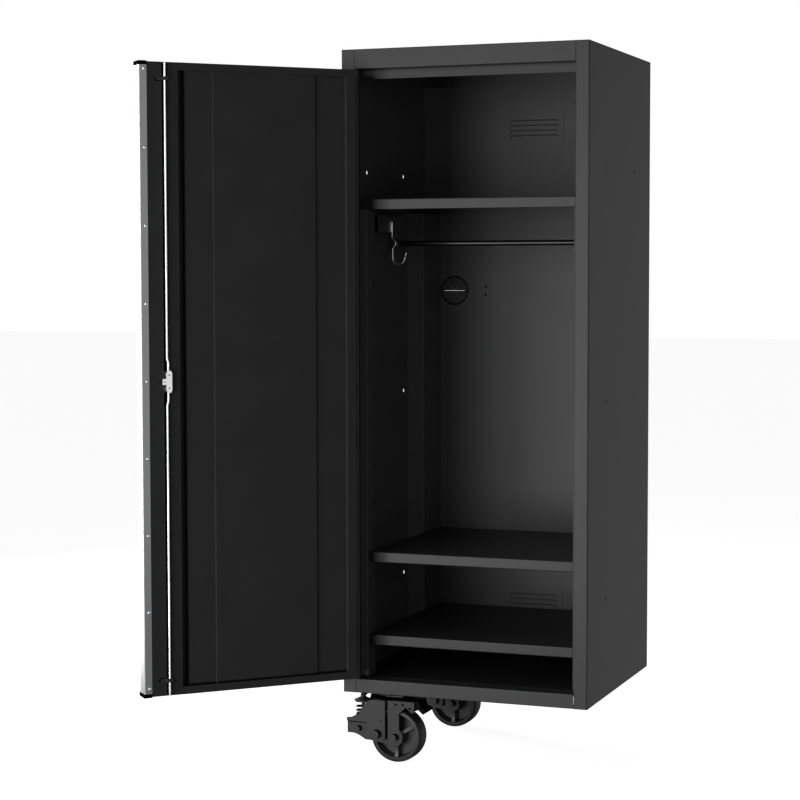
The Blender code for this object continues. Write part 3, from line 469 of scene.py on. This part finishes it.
def sheet_shadows():
    """Painted shade over the uprights' slots, in the louvre creases and along the foot of the door's
    inner sheet, and painted highlight on the uprights' folds.
    """
    bm = bmesh.new()
    mouth = (UPRIGHT_FACE - 0.0002, UPRIGHT_FACE + 0.0001)
    for depth, first in ((0.0845, 1.0772), (0.4530, 1.0655)):
        for k in range(11):
            z = first - SLOT_PITCH * k
            box(bm, mouth, (depth - 0.0023, depth + 0.0023), (z - 0.0062, z + 0.0062))
    piece("slot_shadows", bm, "cabinet", "shadow_gap")

    # pale strips on the uprights' folds: painted highlight where the bends catch the light
    bm = bmesh.new()
    for depth in (0.0432, 0.4430):
        x = (UPRIGHT_FACE - 0.0003, UPRIGHT_FACE + 0.0003)
        box(bm, x, (depth, depth + 0.0022), (0.0300, 1.1000))
    piece("upright_fold_highlights", bm, "cabinet", "fold_highlight")

    # each crease is a brow that turns down at both ends, lying on the pressed field; its dark strip
    # is painted shade
    brow = (
        (-0.0655, -0.0085), (-0.0648, -0.0048), (-0.0630, -0.0016), (-0.0596, -0.0004),
        (0.0596, -0.0004), (0.0630, -0.0016), (0.0648, -0.0048),
    )
    widths = (0.0010, 0.0022, 0.0028, 0.0028, 0.0028, 0.0022, 0.0008)
    bm = bmesh.new()
    for top in (1.4115, 0.1715):
        for k in range(4):
            points = [(x, top - LOUVRE_PITCH * k + z) for x, z in brow]
            ribbon(bm, "y", points, widths, LOUVRE_FIELD - 0.00025, LOUVRE_FIELD + OFF_FACE)
    piece("louvre_crease_shade", bm, "cabinet", "crease_shade")

    foot = 0.0612
    panels = (
        (RAISED_FACE, 0.1145, 0.3655), (SUNK_FACE, 0.3680, 0.4320), (SUNK_FACE, 0.0370, 0.1118),
    )
    for name, finish, reach, lift in (
        ("sheet_foot_shadow", "deep_shade", 0.0022, FILM),
        ("sheet_foot_fade", "soft_shade", 0.0050, FILM / 2),
    ):
        bm = bmesh.new()
        for face, left, right in panels:
            box(bm, (HINGE.x + left, HINGE.x + right), (face, face + lift), (foot, foot + reach))
        piece(name, bm, "door", finish, IN_DOOR)


def trim_screws():
    """Nine cross-recessed pan heads down the aluminium edge."""
    count, pitch, top = 9, 0.1772, 1.4800
    seat = DOOR_FACE + 0.0004
    x = HINGE.x + 0.5316
    head = [
        (0.0, seat), (0.0038, seat), (0.0038, seat + 0.0009), (0.0032, seat + 0.0017),
        (0.0022, seat + 0.0022), (0.0, seat + 0.0023),
    ]
    heads, recess_shade = bmesh.new(), bmesh.new()
    for k in range(count):
        z = top - pitch * k
        lathe(heads, "y", (x, z), head, 32)
        # each cross recess is a dark block: painted shade
        for across, along in ((0.0017, 0.0004), (0.0004, 0.0017)):
            depth = (seat + 0.0019, seat + 0.00245)
            box(recess_shade, (x - across, x + across), depth, (z - along, z + along))
    piece("trim_screws", heads, "door", "bright_chrome", IN_DOOR)
    piece("trim_screw_recess_shade", recess_shade, "door", "shadow_gap", IN_DOOR)


def hanging_fittings():
    """Clothes rod, wire coat hook with its plate, and the rails' screws."""
    bm = bmesh.new()
    disc(bm, "x", (0.2870, 1.0905), 0.0070, -0.2752, 0.2752, 48)
    piece("clothes_rod_bar", bm, "cabinet", "rod_enamel", replaces=["clothes_rod"])

    # the wire drops past a small knuckle and turns up again round the bowl of the hook
    x, y = -0.2767, 0.2500
    bowl_x, bowl_z, bowl_r = x + 0.0205, 1.0540, 0.0158
    drop = (
        (0.0033, 1.1440), (0.0030, 1.1230), (0.0034, 1.1050), (0.0096, 1.0985), (0.0126, 1.0910),
        (0.0096, 1.0835), (0.0048, 1.0775), (0.0045, 1.0660), (0.0048, 1.0530),
    )
    points = [(x + out, y, z) for out, z in drop]
    for k in range(1, 8):
        turn = math.radians(180 + 23 * k)
        points.append((bowl_x + bowl_r * math.cos(turn), y, bowl_z + bowl_r * math.sin(turn)))
    points.append((x + 0.0408, y, 1.0668))
    bm = bmesh.new()
    box(bm, (x, x + 0.0020), (y - 0.0100, y + 0.0100), (1.1190, 1.1500), 0.0004)
    tube(bm, smooth_path(points), 0.0017, 18)
    piece("coat_hook_wire", bm, "cabinet", "bright_chrome", replaces=["coat_hook"])

    bm = bmesh.new()
    for side in (-1, 1):
        face = side * RAIL_FACE
        head = [
            (0.0, face), (0.0042, face), (0.0042, face - side * 0.0010), (0.0, face - side * 0.0022),
        ]
        for depth in (0.1850, 0.3480):
            lathe(bm, "x", (depth, 1.1390), head, 24)
    piece("rail_screws", bm, "cabinet", "dark_steel")


def cable_outlet():
    """Rounded ring, slit rubber leaves with painted light along their cuts, and two plugs beside the
    outlet.
    """
    x, z = OUTLET
    ring = []
    for k in range(13):
        turn = math.radians(15 * k)
        depth = BACK_WALL - 0.0003 - 0.0034 * math.sin(turn)
        ring.append((0.0366 + 0.0020 * math.cos(turn), depth))
    bm = bmesh.new()
    closed_lathe(bm, "y", OUTLET, ring, 72)
    piece("outlet_ring", bm, "cabinet", "gloss_plastic", replaces=["grommet_ring"])

    leaf = BACK_WALL - 0.0026
    # pale strips along the leaves' cuts: painted light
    bm = bmesh.new()
    for turn, reach in ((-47.0, 0.0300), (47.0, 0.0270)):
        c, s = math.cos(math.radians(turn)), math.sin(math.radians(turn))
        for side in (-1, 1):
            points = [(x + side * r * c, z + side * r * s) for r in (0.0020, reach)]
            ribbon(bm, "y", points, (0.0007, 0.0007), leaf - 0.0003, leaf + 0.0002)
    piece("outlet_slit_lights", bm, "cabinet", "slit_light")

    bm = bmesh.new()
    box(bm, (x - 0.0274, x + 0.0274), (leaf - 0.0001, leaf + 0.0004), (z, z + 0.0006))
    piece("outlet_slit_lip", bm, "cabinet", "soft_rubber")

    plug = [(0.0, 0.0), (0.0031, 0.0), (0.0031, -0.0004), (0.0, -0.0005)]
    bm = bmesh.new()
    for height in (0.9802, 0.9585):
        lathe(bm, "y", (-0.1333, height), shifted(plug, BACK_WALL), 24)
    piece("wall_plugs", bm, "cabinet", "shadow_gap")


def wheel(tag):
    """Pressed wheel with a rolled bead, a dished web and three ribs, and its tyre."""
    y = CASTER_Y[tag]
    hub = [(0.0054, -0.0250), (0.0140, -0.0250), (0.0152, -0.0242), (0.0160, -0.0160)]
    near_web = [(0.0176, -0.0040), (0.0220, 0.0004), (0.0490, 0.0004)]
    far_web = [(0.0490, 0.0036), (0.0220, 0.0036), (0.0176, 0.0080)]
    bead = [
        (0.0505, -0.0040), (0.0520, -0.0110), (0.0528, -0.0205), (0.0532, -0.0224),
        (0.0540, -0.0230), (0.0596, -0.0230), (0.0608, -0.0224), (0.0612, -0.0206),
    ]
    profile = hub + near_web + bead + mirrored(bead) + far_web + mirrored(hub)
    disc_mesh, ribs = bmesh.new(), bmesh.new()
    closed_lathe(disc_mesh, "y", AXLE, shifted(profile, y), 96)

    # the ribs are painted lighter than the web: painted highlight
    rib = (
        (0.0150, 0.0225), (0.0200, 0.0190), (0.0420, 0.0170), (0.0522, 0.0195),
        (0.0508, 0.0060), (0.0150, 0.0060),
    )
    for k in range(3):
        turn = math.radians(-90 + 120 * k)
        along = Vector((math.cos(turn), math.sin(turn)))
        across = Vector((-math.sin(turn), math.cos(turn)))
        for side in (-1, 1):
            walls = []
            for shift in (-0.0042, 0.0042):
                places = [(Vector(AXLE) + along * r + across * shift, y + side * d) for r, d in rib]
                walls.append([(p.x, depth, p.y) for p, depth in places])
            prism(ribs, *walls)
    body = f"{tag}_wheel"
    piece(f"{tag}_wheel_disc", disc_mesh, body, "wheel_paint", replaces=[f"{tag}_caster_wheel"])
    piece(f"{tag}_wheel_ribs", ribs, body, "rib_highlight_paint")

    shoulder = [
        (0.0608, -0.0212), (0.0622, -0.0226), (0.0638, -0.0212), (0.0646, -0.0170),
        (WHEEL_R, -0.0110),
    ]
    tread = shoulder + [(WHEEL_R, 0.0)] + mirrored(shoulder)
    bm = bmesh.new()
    closed_lathe(bm, "y", AXLE, shifted(tread, y), 96)
    piece(f"{tag}_tread", bm, body, "tyre_rubber", replaces=[f"{tag}_caster_tyre"])


def caster_fittings(tag):
    """Pins, nuts and bolts of one caster with their sides painted shade, and strips for its shaded
    gaps and marks.
    """
    y = CASTER_Y[tag]
    arm, swivel = f"{tag}_arm", f"{tag}_swivel"
    for name, body, centre, radius, inner, outer in (
        ("cross_pin", arm, CROSS_PIN, 0.0068, 0.0312, 0.0425),
        ("axle_nut", arm, AXLE, 0.0082, 0.0375, 0.0442),
        ("pivot_nut", swivel, PIVOT_NUT, 0.0104, 0.0358, 0.0484),
    ):
        # the pins' and nuts' sides are painted shade; only their end caps take the caster's paint
        shaded_barrels, caps = bmesh.new(), bmesh.new()
        for side in (-1, 1):
            near, far = y + side * inner, y + side * outer
            disc(shaded_barrels, "y", centre, radius, near, far, 36)
            cap = [
                (0.0, far), (radius, far), (radius - 0.0006, far + side * 0.0005),
                (0.0, far + side * 0.0006),
            ]
            lathe(caps, "y", centre, cap, 36)
        piece(f"{tag}_{name}_barrels", shaded_barrels, body, "deep_shade")
        piece(f"{tag}_{name}_caps", caps, body, "caster_paint")

    # the axle bolt's heads between the arm and the nuts: painted shade
    head = [
        (0.0, -0.0378), (0.0074, -0.0378), (0.0080, -0.0370), (0.0080, -0.0313),
        (0.0050, -0.0313),
    ]
    bm = bmesh.new()
    lathe(bm, "y", AXLE, shifted(head + mirrored(head), y), 48)
    piece(f"{tag}_axle_bolt", bm, arm, "deep_shade", replaces=[f"{tag}_caster_axle"])

    bm = bmesh.new()
    for side in (-1, 1):
        low, high = sorted((y + side * (YOKE_FACE - 0.0002), y + side * (YOKE_FACE + 0.0001)))
        box(bm, (-0.2272, -0.2250), (low, high), (-0.0785, -0.0732))
        box(bm, (-0.2245, -0.2230), (low, high), (-0.0790, -0.0778))
    piece(f"{tag}_cheek_marks", bm, swivel, "shadow_gap")

    # under the plate, and on the slopes that run from the yoke's cheeks up to its top;
    # each point of a slope is (x, part of the way up)
    slope = ((-0.2560, 0.02), (-0.2400, 0.32), (-0.2172, 0.02), (-0.2172, 1.0), (-0.2560, 1.0))
    bm = bmesh.new()
    box(bm, (-0.2550, -0.1620), (y - 0.0262, y + 0.0262), (-0.0262, -0.0166))
    for side in (-1, 1):
        layers = []
        for lift in (0.0002, 0.0005):
            layer = []
            for x, t in slope:
                out = YOKE_FACE - 0.0085 * t + 0.84 * lift
                layer.append((x, y + side * out, -0.0258 + 0.0133 * t + 0.54 * lift))
            layers.append(layer)
        prism(bm, *layers)
    piece(f"{tag}_yoke_shade", bm, swivel, "deep_shade")

    bm = bmesh.new()
    for side in (-1, 1):
        low, high = sorted((y + side * ARM_FACE, y + side * (ARM_FACE + FILM)))
        box(bm, (-0.3162, -0.2660), (low, high), (-0.0846, -0.0814))
        for x in (-0.1905, -0.1710):
            disc(bm, "y", (x, -0.0335), 0.0029, low, high, 20)
    piece(f"{tag}_arm_shadows", bm, arm, "shadow_gap")

    bolt = [(0.0, -0.0125), (0.0038, -0.0125), (0.0040, -0.0115), (0.0040, -0.0043), (0.0, -0.0043)]
    bm = bmesh.new()
    for x in (-0.2655, -0.1645):
        for shift in (-0.0360, 0.0360):
            plate(bm, "z", hexagon((x, y + shift), 0.0130, 15.0), -0.0092, -0.0043)
            lathe(bm, "z", (x, y + shift), bolt, 20)
    piece(f"{tag}_plate_bolts", bm, "cabinet", "deep_shade")


lock_fittings()
sheet_shadows()
trim_screws()
hanging_fittings()
cable_outlet()
for tag in CASTER_Y:
    wheel(tag)
    caster_fittings(tag)


# -------------------------------------------------------------------- stage
def area_light(name, place, target, size, power):
    data = bpy.data.lights.new(name, "AREA")
    data.shape = "RECTANGLE"
    data.size, data.size_y = size
    data.energy = power
    light = bpy.data.objects.new(name, data)
    bpy.context.scene.collection.objects.link(light)
    light.location = place
    light.rotation_euler = (Vector(target) - Vector(place)).to_track_quat("-Z", "Y").to_euler()
    return light


def linked_light(name, place, target, size, power, shown_to):
    """Card that lights only the given pieces."""
    card = area_light(name, place, target, size, power)
    group = bpy.data.collections.new(name)
    for obj in shown_to:
        group.objects.link(obj)
    card.light_linking.receiver_collection = group


def around(azimuth, distance, height):
    """Place at an angle round the locker: 0 in front, 90 on its right."""
    turn = math.radians(azimuth)
    return (distance * math.sin(turn), -distance * math.cos(turn), height)


def world(visible, light):
    """One grey that the camera sees, and another that lights the scene from all round."""
    scene_world = bpy.data.worlds.new("studio")
    bpy.context.scene.world = scene_world
    scene_world.use_nodes = True
    tree = scene_world.node_tree
    tree.nodes.clear()
    path = tree.nodes.new("ShaderNodeLightPath")
    mix = tree.nodes.new("ShaderNodeMixShader")
    output = tree.nodes.new("ShaderNodeOutputWorld")
    tree.links.new(path.outputs["Is Camera Ray"], mix.inputs["Fac"])
    for socket, grey in ((1, light), (2, visible)):
        background = tree.nodes.new("ShaderNodeBackground")
        background.inputs["Color"].default_value = (grey, grey, grey, 1.0)
        tree.links.new(background.outputs["Background"], mix.inputs[socket])
    tree.links.new(mix.outputs["Shader"], output.inputs["Surface"])


def floor(height):
    """Pale ground that the camera sees, and that takes no part in lighting the locker."""
    half = 30.0
    corners = [(x * half, y * half, height) for x, y in ((-1, -1), (1, -1), (1, 1), (-1, 1))]
    mesh = bpy.data.meshes.new("floor")
    mesh.from_pydata(corners, [], [(0, 1, 2, 3)])
    ground = bpy.data.objects.new("floor", mesh)
    bpy.context.scene.collection.objects.link(ground)
    material = bpy.data.materials.new("pale_floor")
    material.use_nodes = True
    shader = material.node_tree.nodes["Principled BSDF"]
    shader.inputs["Base Color"].default_value = (0.5, 0.5, 0.5, 1.0)
    shader.inputs["Roughness"].default_value = 0.9
    shader.inputs["Emission Color"].default_value = (1.0, 1.0, 1.0, 1.0)
    shader.inputs["Emission Strength"].default_value = 0.92
    mesh.materials.append(material)
    ground.visible_diffuse = False
    ground.visible_shadow = False
    ground.visible_glossy = False
    ground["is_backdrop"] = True


def camera():
    """The photograph's view: 20.8 degrees to the right, 3.6 degrees down."""
    place = (1.2877, -4.8902, 0.2540)
    yaw, pitch, roll = math.radians(20.842), math.radians(-3.648), math.radians(-0.101)
    data = bpy.data.cameras.new("camera")
    data.lens = 93.02
    data.sensor_width = 36.0
    data.clip_end = 100.0
    view = bpy.data.objects.new("camera", data)
    bpy.context.scene.collection.objects.link(view)
    turn = Matrix.Rotation(yaw, 4, "Z") @ Matrix.Rotation(math.radians(90) + pitch, 4, "X")
    turn = turn @ Matrix.Rotation(roll, 4, "Z")
    view.matrix_world = Matrix.Translation(place) @ turn
    bpy.context.scene.camera = view


STUDIO = (
    # name, angle, distance, height, size, power
    ("left_strip", -60, 4.0, 0.0, (0.9, 2.6), 19.0),
    ("front_left_strip", -30, 4.0, 0.0, (0.9, 2.6), 16.5),
    ("front_strip", -15, 4.0, 0.0, (0.9, 2.6), 33.5),
    ("right_strip", 20, 4.0, 0.0, (0.9, 2.6), 5.0),
    ("corner_strip", 72, 4.0, 0.0, (0.9, 2.6), 1.2),
    ("back_strip", 160, 4.0, -0.5, (0.9, 4.2), 8.5),
    ("high_card", -45, 3.4, 2.4, (0.9, 1.4), 14.0),
    ("low_card", -30, 3.8, -0.8, (0.9, 0.5), 12.6),
    ("edge_strip", -112, 4.0, 0.0, (1.4, 2.6), 110.0),
)
INSIDE = (
    "side_panel_left", "front_upright_left", "rear_upright_left", "rod_bracket_left", "back_panel",
    "grommet_insert",
)
DOOR_EDGE = (-0.5, -0.5, 0.0)

world(1.0, 0.066)
floor(cad_box[0][2] - 0.0005)
for name, angle, distance, height, size, power in STUDIO:
    area_light(name, around(angle, distance, height), (0.0, 0.0, 0.0), size, power)

bright = [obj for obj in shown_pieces() if MATERIALS["bright_chrome"] in list(obj.data.materials)]
trim = [nodes["edge_trim"]]
inside = [nodes[name] for name in INSIDE]
linked_light("chrome_card", around(64, 2.6, 0.0), DOOR_EDGE, (3.0, 3.0), 19.0, bright)
linked_light("chrome_card_left", around(-20, 3.0, 0.0), DOOR_EDGE, (2.4, 3.0), 14.0, bright)
linked_light("trim_card", around(64, 2.6, 0.4), (-0.8, -0.6, 0.2), (3.0, 3.0), 8.0, trim)
linked_light("inside_card", around(30, 3.5, 0.1), (-0.5, 0.2, 0.0), (1.6, 2.6), 18.5, inside)
camera()
bpy.context.scene.view_settings.view_transform = "Standard"
